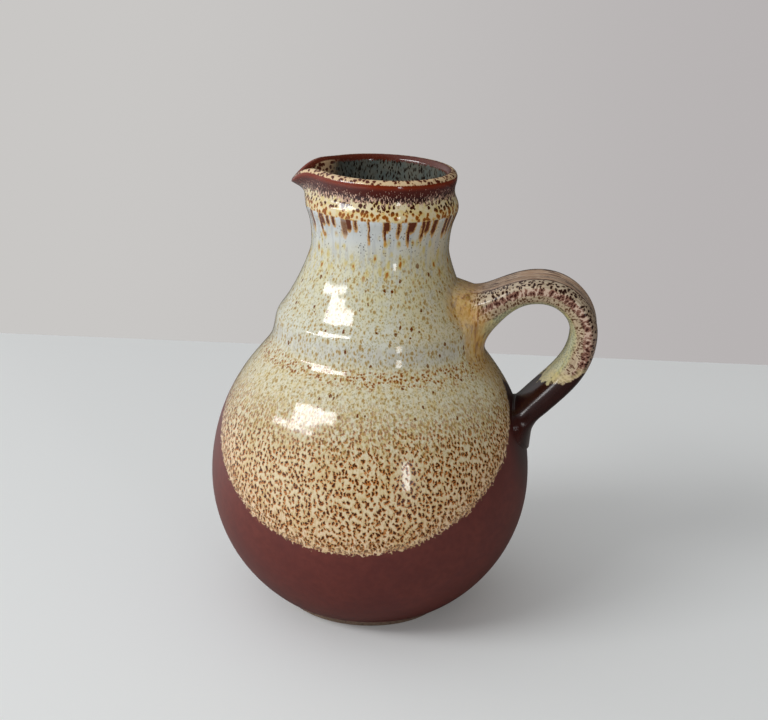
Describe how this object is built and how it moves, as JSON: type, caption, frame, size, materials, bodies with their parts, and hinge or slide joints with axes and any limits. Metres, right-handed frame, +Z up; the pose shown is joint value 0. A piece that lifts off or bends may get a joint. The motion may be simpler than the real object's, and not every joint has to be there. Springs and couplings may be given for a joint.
{
  "type": "stoneware jug",
  "caption": "Round-bellied glazed stoneware jug with a stepped shoulder, waisted neck, beaded collar, pulled pouring lip and a strap handle, for holding and pouring liquids.",
  "frame": {"origin": "centre of the foot ring's standing face, on the axis that the pot was thrown about", "axes": "+Z up along the pot's axis, +X towards the handle, so the pouring lip points to -X"},
  "size_m": [0.1843, 0.157, 0.2193],
  "materials": {
    "bare_clay": "unglazed fired stoneware, wiped clean where it stands",
    "brown_glaze": "satin red-brown iron glaze, with the speckled cream glaze dipped over its upper half",
    "speckled_glaze": "glossy cream glaze with brown and amber speckles",
    "rim_glaze": "glossy cream glaze that breaks to red-brown round the rim",
    "handle_glaze": "glossy cream glaze, streaked and speckled, dark brown at the lower root",
    "fired_slip": "fired luting slip, covered by the glaze at its edge"
  },
  "bodies": {
    "root": {"foot_ring": "bare_clay", "bowl": "brown_glaze", "shoulder": "speckled_glaze", "neck": "speckled_glaze", "collar": "rim_glaze", "handle": "handle_glaze", "upper_slip": "fired_slip", "lower_slip": "fired_slip"}
  },
  "joints": []
}
